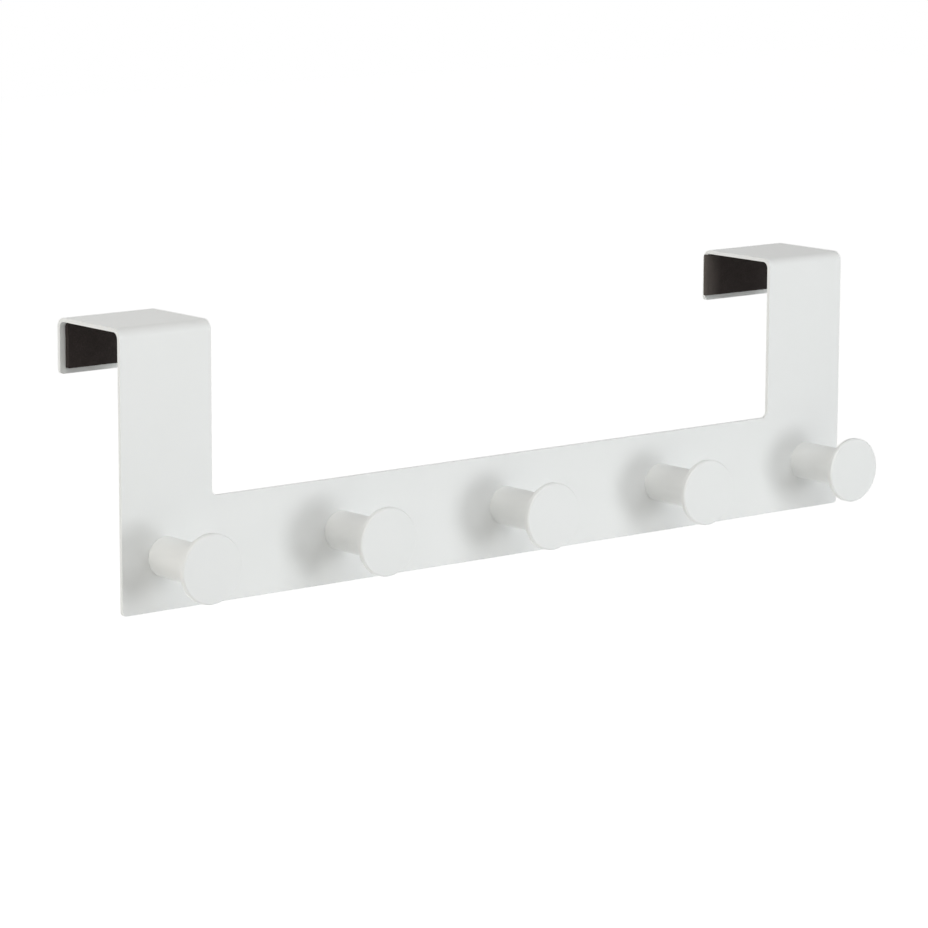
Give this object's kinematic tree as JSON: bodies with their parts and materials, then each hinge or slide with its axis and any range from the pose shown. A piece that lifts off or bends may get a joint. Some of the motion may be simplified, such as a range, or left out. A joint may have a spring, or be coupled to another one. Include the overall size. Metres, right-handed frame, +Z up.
{
  "type": "over door hook",
  "caption": "Folded sheet rail that hooks over the top edge of a door, with a row of round-headed pegs on its face and foam pads inside its hooks.",
  "frame": {"origin": "middle of the door's top front edge: on the sheet's back, level with the undersides of the hooks, halfway along the rail", "axes": "+X along the rail, to the right as seen from the room; +Y from the room into the door; +Z up"},
  "size_m": [0.358, 0.0695, 0.105],
  "materials": {
    "powder_coated_steel": "white powder coat, matt with a fine orange peel",
    "zinc_plated_steel": "bright zinc plate on a cold-headed screw",
    "closed_cell_foam": "dark cut foam, matt with fine open cells at the surface"
  },
  "bodies": {
    "root": {"hook_plate": "powder_coated_steel", "peg_1": "powder_coated_steel", "peg_2": "powder_coated_steel", "peg_3": "powder_coated_steel", "peg_4": "powder_coated_steel", "peg_5": "powder_coated_steel", "peg_screws": "zinc_plated_steel", "left_pad": "closed_cell_foam", "right_pad": "closed_cell_foam"}
  },
  "joints": []
}
